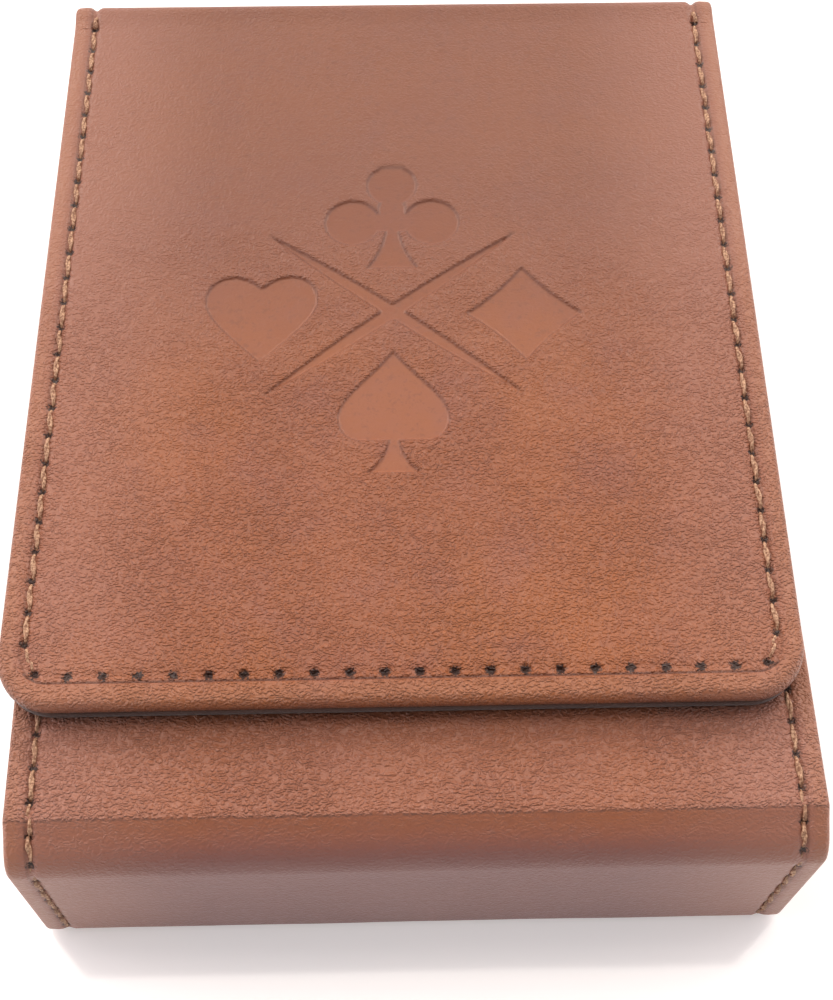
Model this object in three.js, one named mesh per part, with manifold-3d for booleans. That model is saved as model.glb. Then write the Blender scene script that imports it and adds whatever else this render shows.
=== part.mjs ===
// A hard leather case for one deck of playing cards, in its tuck box, lying on its back.
// One hide, over greyboard panels with a suede lining, wraps the front, the bottom end, the back,
// the spine at the hinge end and the flap. It bends only at two live hinges, along the spine's edges.
// Millimetres. +X right, +Y from the bottom end to the hinge end, +Z from the back to the flap.
import * as THREE from "three";
import { mergeVertices } from "three/addons/utils/BufferGeometryUtils.js";
import Module from "manifold-3d";

const wasm = await Module();
wasm.setup();

// Overall sizes
const CASE_WIDTH = 74;
const CASE_LENGTH = 100;
const CASE_HEIGHT = 28;

// Layers of a panel, from the outside in
const LEATHER = 1.2;
const BOARD = 1.6;
const LINING = 0.4;
const FRONT_BOARD = 1.0;
const FLAP_BOARD = 1.3;
const FLAP_LINING = 0.6;
const SIDE_LEATHER = 1.0;
const SIDE_BOARD = 1.5;
const SIDE_RECESS = 0.8; // how far the side walls stand in from the wrap's edges

// Clearances
const GLUE_LINE = 0.05; // between two layers glued face to face
const PANEL_GAP = 0.4; // between panels that move apart
const STRIP_GAP = 0.3; // between a hinge strip and the panel leather that it carries on from

// Edges
const FRONT_EDGE_RADIUS = 3.1; // front panel to bottom end
const BACK_EDGE_RADIUS = 2.2; // bottom end to back
const HINGE_RADIUS = 2.6; // outside of the hide round both hinges
const ARC_STEP = 9; // degrees

// Flap
const FLAP_STOP = 13.3; // front panel left bare between the bottom end and the flap's free edge
const FLAP_CORNER_RADIUS = 5.2;
const FLAP_EDGE_ROUND = 0.7;
const FLAP_LINING_INSET = 1.6;

// Seams
const SEAM_INSET = 2.05; // from a panel's edge to the middle of its seam
const GROOVE_WIDTH = 1.0;
const GROOVE_DEPTH = 0.5;
const THREAD_WIDTH = 0.6;
const THREAD_THICKNESS = 0.45;
const THREAD_END_GAP = 0.8; // from a thread's end to its groove's end

// Closing magnets
const MAGNET_RADIUS = 4;
const MAGNET_SPACING = 38; // centre to centre, across the case
const MAGNET_INSET = 8; // from the flap's free edge to the magnets' centres
const MAGNET_CLEARANCE = 0.3;

// Suit emblem pressed into the flap
const EMBLEM_DEPTH = 0.35;
const EMBLEM_CENTRE_Y = 6.2;
const CROSS_HALF = [13.1, 10.1]; // half extents of the two crossing lines
const CROSS_BOW = 0.55; // half width of a crossing line at its middle
const SUIT_HALF_WIDTH = 5.8; // heart and diamond
const SUIT_OFFSET_X = 13.55; // heart and diamond, from the emblem's centre
const STEM_HALF_WIDTH = 2.7;

// Places worked out from the sizes
const halfWidth = CASE_WIDTH / 2;
const bottomY = -CASE_LENGTH / 2;
const hingeEndY = CASE_LENGTH / 2;
const panelThickness = LEATHER + BOARD + LINING;
const frontThickness = LEATHER + FRONT_BOARD + LINING;
const flapThickness = LEATHER + FLAP_BOARD + FLAP_LINING;
const flapUnderZ = CASE_HEIGHT - flapThickness;
const frontFaceZ = flapUnderZ - PANEL_GAP;
const frontInnerZ = frontFaceZ - frontThickness;
const backInnerZ = panelThickness;
const bottomInnerY = bottomY + panelThickness;
const spineInnerY = hingeEndY - panelThickness;
const mouthY = spineInnerY - PANEL_GAP;
const hingeY = hingeEndY - HINGE_RADIUS;
const flapFrontY = bottomY + FLAP_STOP;
const sideOuterX = halfWidth - SIDE_RECESS;
const seamX = halfWidth - SEAM_INSET;
const magnetY = flapFrontY + MAGNET_INSET;

const hide = { color: "#a16849", roughness: 0.55, metalness: 0 };
const sideHide = { color: "#8f5a40", roughness: 0.55, metalness: 0 };
const suede = { color: "#4a2c20", roughness: 0.95, metalness: 0 };
const greyboard = { color: "#8d8373", roughness: 0.9, metalness: 0 };
const linenThread = { color: "#a9765a", roughness: 0.7, metalness: 0 };
const nickel = { color: "#b9bcc0", roughness: 0.3, metalness: 1 };

const caseWrap = new THREE.Group();

// Solids

function solidOf(geometry) {
  const bare = geometry.clone();
  bare.deleteAttribute("normal");
  bare.deleteAttribute("uv");
  const merged = mergeVertices(bare, 1e-4);
  const mesh = new wasm.Mesh({
    numProp: 3,
    vertProperties: merged.attributes.position.array,
    triVerts: new Uint32Array(merged.index.array),
  });
  return new wasm.Manifold(mesh);
}

function geometryOf(solid) {
  const mesh = solid.getMesh();
  const geometry = new THREE.BufferGeometry();
  const positions = new Float32Array(mesh.vertProperties);
  geometry.setAttribute("position", new THREE.BufferAttribute(positions, 3));
  geometry.setIndex(new THREE.BufferAttribute(new Uint32Array(mesh.triVerts), 1));
  geometry.computeVertexNormals();
  return geometry;
}

function box(x, y, z) {
  const geometry = new THREE.BoxGeometry(x[1] - x[0], y[1] - y[0], z[1] - z[0]);
  geometry.translate((x[0] + x[1]) / 2, (y[0] + y[1]) / 2, (z[0] + z[1]) / 2);
  return solidOf(geometry);
}

function shapeOf(points) {
  return new THREE.Shape(points.map(([a, b]) => new THREE.Vector2(a, b)));
}

// A prism along X whose section is drawn in Y and Z.
function alongX(points, x) {
  const geometry = new THREE.ExtrudeGeometry(shapeOf(points), { depth: x[1] - x[0], bevelEnabled: false });
  const turn = new THREE.Matrix4().makeBasis(
    new THREE.Vector3(0, 1, 0),
    new THREE.Vector3(0, 0, 1),
    new THREE.Vector3(1, 0, 0),
  );
  geometry.applyMatrix4(turn);
  geometry.translate(x[0], 0, 0);
  return solidOf(geometry);
}

// A prism along Z whose section is drawn in X and Y.
function alongZ(shape, z) {
  const options = { depth: z[1] - z[0], bevelEnabled: false, curveSegments: 10 };
  const geometry = new THREE.ExtrudeGeometry(shape, options);
  geometry.translate(0, 0, z[0]);
  return solidOf(geometry);
}

function disc(radius, x, y, z) {
  const geometry = new THREE.CylinderGeometry(radius, radius, z[1] - z[0], 40);
  geometry.rotateX(Math.PI / 2);
  geometry.translate(x, y, (z[0] + z[1]) / 2);
  return solidOf(geometry);
}

function add(name, solid, look) {
  const mesh = new THREE.Mesh(geometryOf(solid), new THREE.MeshStandardMaterial(look));
  mesh.name = name;
  caseWrap.add(mesh);
}

// Outlines

function arc(centre, radius, from, to) {
  const steps = Math.ceil(Math.abs(to - from) / ARC_STEP);
  const points = [];
  for (let i = 0; i <= steps; i++) {
    const angle = THREE.MathUtils.degToRad(from + ((to - from) * i) / steps);
    points.push([centre[0] + radius * Math.cos(angle), centre[1] + radius * Math.sin(angle)]);
  }
  return points;
}

// The hide's section at a depth under its outside: front panel, bottom end and back.
function wrapPath(depth, frontEndY, backEndY) {
  const frontR = Math.max(FRONT_EDGE_RADIUS - depth, 0.01);
  const backR = Math.max(BACK_EDGE_RADIUS - depth, 0.01);
  return [
    [frontEndY, frontFaceZ - depth],
    ...arc([bottomY + depth + frontR, frontFaceZ - depth - frontR], frontR, 90, 180),
    ...arc([bottomY + depth + backR, depth + backR], backR, 180, 270),
    [backEndY, depth],
  ];
}

function wrapBand(outer, inner, frontEndY, backEndY) {
  return [...wrapPath(outer, frontEndY, backEndY), ...wrapPath(inner, frontEndY, backEndY).reverse()];
}

// The flap's outline at an inset from its edge, open at the hinge end.
function flapPath(inset, endY) {
  const x = halfWidth - inset;
  const radius = FLAP_CORNER_RADIUS - inset;
  const cornerX = halfWidth - FLAP_CORNER_RADIUS;
  const cornerY = flapFrontY + FLAP_CORNER_RADIUS;
  return [
    [-x, endY],
    ...arc([-cornerX, cornerY], radius, 180, 270),
    ...arc([cornerX, cornerY], radius, 270, 360),
    [x, endY],
  ];
}

// The case: hide, boards and linings

function caseCover() {
  const sheetEndY = hingeY - STRIP_GAP;
  let cover = alongX(wrapBand(0, LEATHER, mouthY, sheetEndY), [-halfWidth, halfWidth]);
  const edgeSection = [
    ...wrapPath(0, mouthY, mouthY),
    [mouthY, backInnerZ],
    [bottomInnerY, backInnerZ],
    [bottomInnerY, frontInnerZ],
    [mouthY, frontInnerZ],
  ];
  cover = cover.add(alongX(edgeSection, [-halfWidth, LEATHER - halfWidth]));
  cover = cover.add(alongX(edgeSection, [halfWidth - LEATHER, halfWidth]));
  const mouthEdge = box([-halfWidth, halfWidth], [mouthY - LEATHER, mouthY], [frontInnerZ, frontFaceZ]);
  cover = cover.add(mouthEdge);
  for (const x of [-seamX, seamX]) {
    const groove = wrapBand(-1, GROOVE_DEPTH, mouthY - LEATHER, sheetEndY - LEATHER);
    cover = cover.subtract(alongX(groove, [x - GROOVE_WIDTH / 2, x + GROOVE_WIDTH / 2]));
  }
  return cover;
}

function addCase() {
  add("case_cover", caseCover(), hide);
  const boardX = [LEATHER + GLUE_LINE - halfWidth, halfWidth - LEATHER - GLUE_LINE];
  const boardEndY = mouthY - LEATHER - GLUE_LINE;
  const frontBoardZ = [frontInnerZ + LINING + GLUE_LINE, frontFaceZ - LEATHER - GLUE_LINE];
  const pockets = magnetXs().map((x) =>
    disc(MAGNET_RADIUS + MAGNET_CLEARANCE, x, magnetY, [frontBoardZ[0] - 1, frontBoardZ[1] + 1]),
  );
  let frontBoard = box(boardX, [bottomY + FRONT_EDGE_RADIUS, boardEndY], frontBoardZ);
  for (const pocket of pockets) {
    frontBoard = frontBoard.subtract(pocket);
  }
  add("front_board", frontBoard, greyboard);
  const bottomBoardY = [bottomY + LEATHER + GLUE_LINE, bottomInnerY - LINING - GLUE_LINE];
  const bottomBoardZ = [BACK_EDGE_RADIUS, frontFaceZ - FRONT_EDGE_RADIUS];
  add("bottom_board", box(boardX, bottomBoardY, bottomBoardZ), greyboard);
  const backBoardY = [bottomInnerY + GLUE_LINE, mouthY];
  const backBoardZ = [LEATHER + GLUE_LINE, backInnerZ - LINING - GLUE_LINE];
  add("back_board", box(boardX, backBoardY, backBoardZ), greyboard);

  const frontLiningY = [bottomInnerY + GLUE_LINE, boardEndY];
  add("front_lining", box(boardX, frontLiningY, [frontInnerZ, frontInnerZ + LINING]), suede);
  const bottomLiningZ = [backInnerZ + GLUE_LINE, frontInnerZ - GLUE_LINE];
  add("bottom_lining", box(boardX, [bottomInnerY - LINING, bottomInnerY], bottomLiningZ), suede);
  add("back_lining", box(boardX, backBoardY, [backInnerZ - LINING, backInnerZ]), suede);
}

// A side wall's hide turns in round the wall's end at the mouth.
function addSide(side, sign) {
  const z = [backInnerZ + GLUE_LINE, frontInnerZ - GLUE_LINE];
  const startY = bottomInnerY + GLUE_LINE;
  const hideInnerX = sideOuterX - SIDE_LEATHER;
  const boardInnerX = hideInnerX - SIDE_BOARD;
  const liningInnerX = boardInnerX - LINING;
  const across = (a, b) => (sign > 0 ? [a, b] : [-b, -a]);
  const sheet = box(across(hideInnerX, sideOuterX), [startY, mouthY], z);
  const turnedEnd = box(across(liningInnerX, sideOuterX), [mouthY - SIDE_LEATHER, mouthY], z);
  add(`${side}_side_cover`, sheet.add(turnedEnd), sideHide);
  const innerY = [startY, mouthY - SIDE_LEATHER - GLUE_LINE];
  const board = box(across(boardInnerX + GLUE_LINE, hideInnerX - GLUE_LINE), innerY, z);
  add(`${side}_side_board`, board, greyboard);
  add(`${side}_side_lining`, box(across(liningInnerX, boardInnerX), innerY, z), suede);
}

// The spine, between the two hinges

function addSpine() {
  const hideZ = [HINGE_RADIUS + STRIP_GAP, CASE_HEIGHT - HINGE_RADIUS - STRIP_GAP];
  const coreZ = [backInnerZ + PANEL_GAP, flapUnderZ - PANEL_GAP];
  const hideInnerY = hingeEndY - LEATHER;
  let cover = box([-halfWidth, halfWidth], [hideInnerY, hingeEndY], hideZ);
  for (const x of [[-halfWidth, LEATHER - halfWidth], [halfWidth - LEATHER, halfWidth]]) {
    cover = cover.add(box(x, [spineInnerY, hingeEndY], coreZ));
  }
  for (const x of [-seamX, seamX]) {
    const grooveX = [x - GROOVE_WIDTH / 2, x + GROOVE_WIDTH / 2];
    const groove = box(grooveX, [hingeEndY - GROOVE_DEPTH, hingeEndY + 1], [hideZ[0] - 1, hideZ[1] + 1]);
    cover = cover.subtract(groove);
  }
  add("spine_cover", cover, hide);
  const coreX = [LEATHER + GLUE_LINE - halfWidth, halfWidth - LEATHER - GLUE_LINE];
  const boardY = [spineInnerY + LINING + GLUE_LINE, hideInnerY - GLUE_LINE];
  add("spine_board", box(coreX, boardY, coreZ), greyboard);
  add("spine_lining", box(coreX, [spineInnerY, spineInnerY + LINING], coreZ), suede);
}

// The hide where it bends round a hinge: a quarter ring along the case's edge.
function addHingeStrips() {
  const strip = (centreZ, from) =>
    alongX(
      [
        ...arc([hingeY, centreZ], HINGE_RADIUS, from, from + 90),
        ...arc([hingeY, centreZ], HINGE_RADIUS - LEATHER, from + 90, from),
      ],
      [-halfWidth, halfWidth],
    );
  add("back_hinge_strip", strip(HINGE_RADIUS, 270), hide);
  add("flap_hinge_strip", strip(CASE_HEIGHT - HINGE_RADIUS, 0), hide);
}

// The suit emblem, as shapes about the emblem's own centre

function heartShape() {
  const w = SUIT_HALF_WIDTH;
  const shape = new THREE.Shape();
  shape.moveTo(0, 3.4);
  shape.bezierCurveTo(0.5 * w, 6.2, w, 4.5, w, 1.8);
  shape.bezierCurveTo(w, -0.6, 0.35 * w, -3.6, 0, -5.85);
  shape.bezierCurveTo(-0.35 * w, -3.6, -w, -0.6, -w, 1.8);
  shape.bezierCurveTo(-w, 4.5, -0.5 * w, 6.2, 0, 3.4);
  return shape;
}

function diamondShape() {
  const w = SUIT_HALF_WIDTH + 0.15;
  const h = SUIT_HALF_WIDTH + 0.05;
  const waist = 0.42;
  const shape = new THREE.Shape();
  shape.moveTo(0, h);
  shape.quadraticCurveTo(w * waist, h * waist, w, 0);
  shape.quadraticCurveTo(w * waist, -h * waist, 0, -h);
  shape.quadraticCurveTo(-w * waist, -h * waist, -w, 0);
  shape.quadraticCurveTo(-w * waist, h * waist, 0, h);
  return shape;
}

// The foot of a spade or club, from a narrow neck down to a flat base.
function stemShape(topY, baseY) {
  const neck = 0.45;
  const shape = new THREE.Shape();
  shape.moveTo(-neck, topY);
  shape.quadraticCurveTo(-0.3 * STEM_HALF_WIDTH, 0.35 * topY + 0.65 * baseY, -STEM_HALF_WIDTH, baseY);
  shape.lineTo(STEM_HALF_WIDTH, baseY);
  shape.quadraticCurveTo(0.3 * STEM_HALF_WIDTH, 0.35 * topY + 0.65 * baseY, neck, topY);
  return shape;
}

function spadeShape() {
  const shape = new THREE.Shape();
  shape.moveTo(0, -4.9);
  shape.bezierCurveTo(2.2, -8.2, 5.5, -10.2, 5.55, -12.8);
  shape.bezierCurveTo(5.5, -14.8, 4.2, -15.4, 3.4, -15.4);
  shape.lineTo(-3.4, -15.4);
  shape.bezierCurveTo(-4.2, -15.4, -5.5, -14.8, -5.55, -12.8);
  shape.bezierCurveTo(-5.5, -10.2, -2.2, -8.2, 0, -4.9);
  return shape;
}

function crossLineShape(sign) {
  const [x, y] = CROSS_HALF;
  const length = Math.hypot(x, y);
  const side = [(-y * sign * CROSS_BOW * 2) / length, (x * CROSS_BOW * 2) / length];
  const shape = new THREE.Shape();
  shape.moveTo(-x, -y * sign);
  shape.quadraticCurveTo(side[0], side[1], x, y * sign);
  shape.quadraticCurveTo(-side[0], -side[1], -x, -y * sign);
  return shape;
}

function emblem(z) {
  const placed = (shape, x, y) => alongZ(shape, z).translate([x, EMBLEM_CENTRE_Y + y, 0]);
  const club = [[0, 16.8], [-4.5, 11.7], [4.5, 11.7]];
  const lobeRadius = 2.8;
  let pressed = placed(crossLineShape(1), 0, 0).add(placed(crossLineShape(-1), 0, 0));
  pressed = pressed.add(placed(heartShape(), -SUIT_OFFSET_X, -0.2));
  pressed = pressed.add(placed(diamondShape(), SUIT_OFFSET_X, -0.35));
  pressed = pressed.add(placed(spadeShape(), 0, 0)).add(placed(stemShape(-15.2, -19.1), 0, 0));
  for (const [x, y] of club) {
    pressed = pressed.add(disc(lobeRadius, x, EMBLEM_CENTRE_Y + y, z));
  }
  pressed = pressed.add(disc(lobeRadius * 0.7, 0, EMBLEM_CENTRE_Y + 13.2, z));
  return pressed.add(placed(stemShape(12.2, 5.6), 0, 0));
}

// The flap

function flapCover() {
  const sheetEndY = hingeY - STRIP_GAP;
  const beyondY = sheetEndY + 4;
  const underZ = flapUnderZ + FLAP_LINING;
  const round = FLAP_EDGE_ROUND;
  const geometry = new THREE.ExtrudeGeometry(shapeOf(flapPath(0, beyondY)), {
    depth: CASE_HEIGHT - underZ - 2 * round,
    bevelEnabled: true,
    bevelThickness: round,
    bevelSize: round,
    bevelOffset: -round,
    bevelSegments: 3,
  });
  geometry.translate(0, 0, underZ + round);
  let cover = solidOf(geometry);
  const all = [-CASE_WIDTH, CASE_WIDTH];
  cover = cover.subtract(box(all, [sheetEndY, beyondY + 1], [0, 2 * CASE_HEIGHT]));
  const coreTopZ = CASE_HEIGHT - LEATHER;
  cover = cover.subtract(box(all, [mouthY, beyondY + 1], [underZ - 1, coreTopZ]));
  const pocket = alongZ(shapeOf(flapPath(LEATHER, beyondY)), [underZ - 1, coreTopZ]);
  cover = cover.subtract(pocket);
  const groove = seamBand(GROOVE_WIDTH, sheetEndY - LEATHER);
  cover = cover.subtract(alongZ(groove, [CASE_HEIGHT - GROOVE_DEPTH, CASE_HEIGHT + 1]));
  return cover.subtract(emblem([CASE_HEIGHT - EMBLEM_DEPTH, CASE_HEIGHT + 1]));
}

function seamBand(width, endY) {
  const outer = flapPath(SEAM_INSET - width / 2, endY);
  const inner = flapPath(SEAM_INSET + width / 2, endY);
  return shapeOf([...outer, ...inner.reverse()]);
}

function addFlap() {
  add("flap_cover", flapCover(), hide);
  const boardZ = [flapUnderZ + FLAP_LINING + GLUE_LINE, CASE_HEIGHT - LEATHER - GLUE_LINE];
  let board = alongZ(shapeOf(flapPath(LEATHER + STRIP_GAP, mouthY)), boardZ);
  for (const x of magnetXs()) {
    const pocket = disc(MAGNET_RADIUS + MAGNET_CLEARANCE, x, magnetY, [boardZ[0] - 1, boardZ[1] + 1]);
    board = board.subtract(pocket);
  }
  add("flap_board", board, greyboard);
  const liningZ = [flapUnderZ, flapUnderZ + FLAP_LINING];
  add("flap_lining", alongZ(shapeOf(flapPath(FLAP_LINING_INSET, mouthY)), liningZ), suede);
}

// Seam threads and closing magnets

function addThreads() {
  const sheetEnd = STRIP_GAP + LEATHER + THREAD_END_GAP;
  const depths = [GROOVE_DEPTH - THREAD_THICKNESS, GROOVE_DEPTH];
  const mouthEndY = mouthY - LEATHER - THREAD_END_GAP;
  const sides = [["left", -1], ["right", 1]];
  for (const [side, sign] of sides) {
    const x = [sign * seamX - THREAD_WIDTH / 2, sign * seamX + THREAD_WIDTH / 2];
    const wrap = wrapBand(depths[0], depths[1], mouthEndY, hingeY - sheetEnd);
    add(`case_thread_${side}`, alongX(wrap, x), linenThread);
    const spineY = [hingeEndY - depths[1], hingeEndY - depths[0]];
    const spineZ = [HINGE_RADIUS + sheetEnd, CASE_HEIGHT - HINGE_RADIUS - sheetEnd];
    add(`spine_thread_${side}`, box(x, spineY, spineZ), linenThread);
  }
  const flapZ = [CASE_HEIGHT - depths[1], CASE_HEIGHT - depths[0]];
  add("flap_thread", alongZ(seamBand(THREAD_WIDTH, hingeY - sheetEnd), flapZ), linenThread);
}

function magnetXs() {
  return [-MAGNET_SPACING / 2, MAGNET_SPACING / 2];
}

function addMagnets() {
  const frontZ = [frontInnerZ + LINING + GLUE_LINE, frontFaceZ - LEATHER - GLUE_LINE];
  const flapZ = [flapUnderZ + FLAP_LINING + GLUE_LINE, CASE_HEIGHT - LEATHER - GLUE_LINE];
  for (const x of magnetXs()) {
    const side = x < 0 ? "left" : "right";
    add(`front_magnet_${side}`, disc(MAGNET_RADIUS, x, magnetY, frontZ), nickel);
    add(`flap_magnet_${side}`, disc(MAGNET_RADIUS, x, magnetY, flapZ), nickel);
  }
}

addCase();
addSide("left", -1);
addSide("right", 1);
addSpine();
addHingeStrips();
addFlap();
addThreads();
addMagnets();

export default caseWrap;
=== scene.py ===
import math
from functools import partial

import bpy
import numpy as np
from mathutils import Euler, Matrix, Vector


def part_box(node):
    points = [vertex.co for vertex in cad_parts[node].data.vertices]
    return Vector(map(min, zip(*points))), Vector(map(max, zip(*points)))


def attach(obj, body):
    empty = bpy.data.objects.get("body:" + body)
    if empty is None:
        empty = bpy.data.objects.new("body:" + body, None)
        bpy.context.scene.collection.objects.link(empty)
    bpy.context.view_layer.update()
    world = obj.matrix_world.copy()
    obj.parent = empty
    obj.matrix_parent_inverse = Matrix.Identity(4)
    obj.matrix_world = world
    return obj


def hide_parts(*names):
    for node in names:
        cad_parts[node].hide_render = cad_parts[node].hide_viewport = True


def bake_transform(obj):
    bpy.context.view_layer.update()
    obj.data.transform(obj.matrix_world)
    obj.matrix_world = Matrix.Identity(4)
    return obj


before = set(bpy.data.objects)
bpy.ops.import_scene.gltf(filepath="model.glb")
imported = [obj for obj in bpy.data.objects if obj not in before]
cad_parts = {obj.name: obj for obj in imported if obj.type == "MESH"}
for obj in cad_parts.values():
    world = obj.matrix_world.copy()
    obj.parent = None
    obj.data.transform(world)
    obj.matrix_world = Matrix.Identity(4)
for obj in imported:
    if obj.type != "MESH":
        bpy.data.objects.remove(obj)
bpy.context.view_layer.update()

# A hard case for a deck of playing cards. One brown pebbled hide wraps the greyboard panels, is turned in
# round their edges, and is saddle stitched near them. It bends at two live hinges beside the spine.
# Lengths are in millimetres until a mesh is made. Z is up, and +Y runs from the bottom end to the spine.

MM = 0.001


def box_mm(node):
    """A solid's lowest and highest corners in the frame, in millimetres."""
    return [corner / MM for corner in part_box(node)]


# The frame's own places
case_lo, case_hi = box_mm("case_cover")
flap_lo, flap_hi = box_mm("flap_cover")
strip_lo, strip_hi = box_mm("back_hinge_strip")
HALF_WIDTH, BOTTOM_Y, FRONT_Z = case_hi.x, case_lo.y, case_hi.z
FLAP_FRONT_Y, FLAP_Z = flap_lo.y, flap_hi.z
HINGE_Y, HINGE_RADIUS = strip_lo.y, strip_hi.z
SPINE_Y = box_mm("spine_cover")[1].y
MOUTH_Y = box_mm("right_side_cover")[1].y

# Sizes of the leatherwork
HIDE = 1.2  # thickness
THICK_EDGE = 3.2  # height of the folded edge of the back, the bottom end and the spine
FRONT_EDGE = 2.6  # and of the front panel
FRONT_EDGE_RADIUS = 4.2
BACK_EDGE_RADIUS = 2.2
FLAP_CORNER_RADIUS = 5.2
MOUTH_CORNER_RADIUS = 1.4
EDGE_ROUND = 0.6  # the folded edge's upper round
FRONT_ROUND = 1.15  # and along the flap's free edge
UNDER_ROUND = 0.55  # and its lower one
FLAP_BEND_RADIUS = 1.2  # the flap's hinge is folded tighter than the back's
BEND_SWELL = 0.32  # leather bunched up by that fold
HINGE_JOIN = 1.0  # flat leather that a hinge strip keeps on each side of its bend
SEAM_INSET = 2.4
FRONT_SEAM_INSET = 3.0  # along the flap's free edge
STITCH_PITCH = 3.2
THREAD_SUNK = 0.1
PULLED_UNDER = 0.44  # how much deeper it is sunk along the flap's free edge
CREASE_LIFT, CREASE_REACH = 0.34, 1.9  # where the thread crosses the front edge's crease
THREAD_RADIUS = 0.17  # of one of a thread's two plies
EMBLEM_DEPTH = 0.24
EMBLEM_WALL = 0.22  # width of the sloping wall round each pressed shape
EMBLEM_REACH = 20.4
EMBLEM_STEP = 0.205  # between the flap's points where the emblem is pressed
EMBLEM_CENTRE_X = -0.6
EMBLEM_CENTRE_Y = 6.2
FLAP_LEAN = 1.15  # to the left, at the free edge
CREASE_SLOPE = 0.66  # of the front edge's round, where it leaves the front panel
LEAST_RADIUS = 0.08  # left on the inside of a corner
EDGE_BAND = 5.2  # width of the finely divided band along a folded edge
UNSEWN = (0, 9, STITCH_PITCH)  # a stitch count, a distance from the seam and a pitch, away from any seam

# Soft steps in the hide's finish: where each starts and ends, along Z, Y or X
ONTO_FLAP_Z, UP_SPINE_Z, UNDER_FOLD_Z = (24.8, 25.4), (5.0, 25.4), (27.5, 26.7)
ONTO_SPINE_Y, TOWARDS_HINGE_Y = (47.2, 47.8), (-20.0, 28.0)
OVER_CREASE_Y, FRONT_PANEL_Y, BOTTOM_END_Y = (-46.1, -45.8), (-34.0, -38.0), (-46.2, -49.6)
FREE_EDGE_Y = (FLAP_FRONT_Y + 3.6, FLAP_FRONT_Y + 3.2)
LONG_EDGE_X = (18.0, 36.0)


# ---- meshes

def new_object(name, data):
    piece = bpy.data.objects.new(name, data)
    bpy.context.scene.collection.objects.link(piece)
    return piece


def make_piece(name, points, faces, material, attributes=None):
    """A mesh object from points in millimetres, with named values stored on its points."""
    mesh = bpy.data.meshes.new(name)
    mesh.from_pydata((np.asarray(points) * MM).tolist(), [], faces)
    for label, values in (attributes or {}).items():
        kind, field = ("FLOAT", "value") if values.ndim == 1 else ("FLOAT_VECTOR", "vector")
        store = mesh.attributes.new(label, kind, "POINT")
        store.data.foreach_set(field, values.astype(np.float32).ravel())
    mesh.materials.append(material)
    mesh.validate()
    mesh.shade_smooth()
    mesh.set_sharp_from_angle(angle=math.radians(50))
    return new_object(name, mesh)


def finish_piece(piece, slot, body, *nodes):
    """The piece takes its place in the frame: it rides its body, or stays fixed where it is when given a
    hinge's bend, and the solids it stands for are hidden. The slot is not used.
    """
    if isinstance(body, str):
        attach(piece, body)
    else:
        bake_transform(piece)
    if nodes:
        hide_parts(*nodes)
    return piece


class FoldedPath:
    """A sheet's outside seen end on, in Y and Z: straight runs joined by square corners with a radius.
    A point on it is known by its length along the outside, and its depth under the outside."""

    def __init__(self, start, end, inward, corners=(), radii=(), creased=None):
        self.creased = creased
        self.inward = [np.array(n, float) for n in inward]
        stops = [np.array(p, float) for p in (start, *corners, end)]
        self.stops, self.radii = stops, [0, *radii, 0]
        self.lengths = []
        for i in range(len(stops) - 1):
            run = np.linalg.norm(stops[i + 1] - stops[i]) - self.radii[i] - self.radii[i + 1]
            self.lengths += [run, self.radii[i + 1] * math.pi / 2]
        self.lengths.pop()
        self.starts = np.concatenate([[0], np.cumsum(self.lengths)])
        self.total = self.starts[-1]

    def corner(self, i, depth):
        """The i-th stop, moved in to a depth, and the radius left there."""
        point = self.stops[i] + depth[:, None] * self.inward[min(i, len(self.inward) - 1)]
        if 0 < i < len(self.stops) - 1:
            point = point + depth[:, None] * self.inward[i - 1]
        return point, np.maximum(self.radii[i] - depth, LEAST_RADIUS if self.radii[i] else 0)

    def crease_fall(self, back, radius):
        """A corner drawn in where it leaves the next run, so that it meets that run at a crease."""
        share = back / (math.pi / 2)
        return CREASE_SLOPE * radius * math.pi / 2 * share * (1 - share) ** 2

    def place(self, along, depth):
        """Y and Z of points at lengths along the path and depths under it."""
        along, depth = np.asarray(along, float), np.asarray(depth, float)
        piece = np.clip(np.searchsorted(self.starts, along, "right") - 1, 0, len(self.lengths) - 1)
        out = np.zeros((len(along), 2))
        for k, length in enumerate(self.lengths):
            on = piece == k
            if not on.any():
                continue
            t = ((along[on] - self.starts[k]) / length)[:, None]
            d, i = depth[on], k // 2
            if k % 2 == 0:
                run = self.stops[i + 1] - self.stops[i]
                run = run / np.linalg.norm(run)
                a, ra = self.corner(i, d)
                b, rb = self.corner(i + 1, d)
                out[on] = (a + ra[:, None] * run) * (1 - t) + (b - rb[:, None] * run) * t
            else:
                n0, n1 = self.inward[i], self.inward[i + 1]
                turn = t * math.pi / 2
                if i + 1 == self.creased:
                    d = d + self.crease_fall(math.pi / 2 - turn[:, 0], self.radii[i + 1])
                c, r = self.corner(i + 1, d)
                swing = (1 - np.cos(turn)) * n0 + (1 - np.sin(turn)) * n1
                out[on] = c + r[:, None] * swing
        return out

    def outward(self, along):
        """The outside's normal, in Y and Z."""
        probe = 0.2
        here = self.place(along, np.zeros(len(along)))
        return (here - self.place(along, np.full(len(along), probe))) / probe


def edge_steps(reach):
    """Distances in from a folded edge, close together over its round and over the seam."""
    steps = [0, 0.02, 0.08, 0.18, 0.32, 0.48, 0.65, 0.95, 1.4, 1.75, 1.95, 2.1, 2.25, 2.4]
    steps += [2.52, 2.64, 2.76, 2.88, 3.0, 3.12, 3.24, 3.4, 3.6, 3.9, 4.4, 5.2]
    return np.array([s for s in steps if s <= reach + 1e-6])


def even_steps(start, end, step):
    return np.linspace(start, end, max(2, round((end - start) / step) + 1))


def edge_fall(inset, radius):
    """How far a folded edge has rounded down at a distance in from it."""
    short = np.clip(radius - inset, 0, radius)
    return radius - np.sqrt(np.maximum(radius**2 - short**2, 0))


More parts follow.
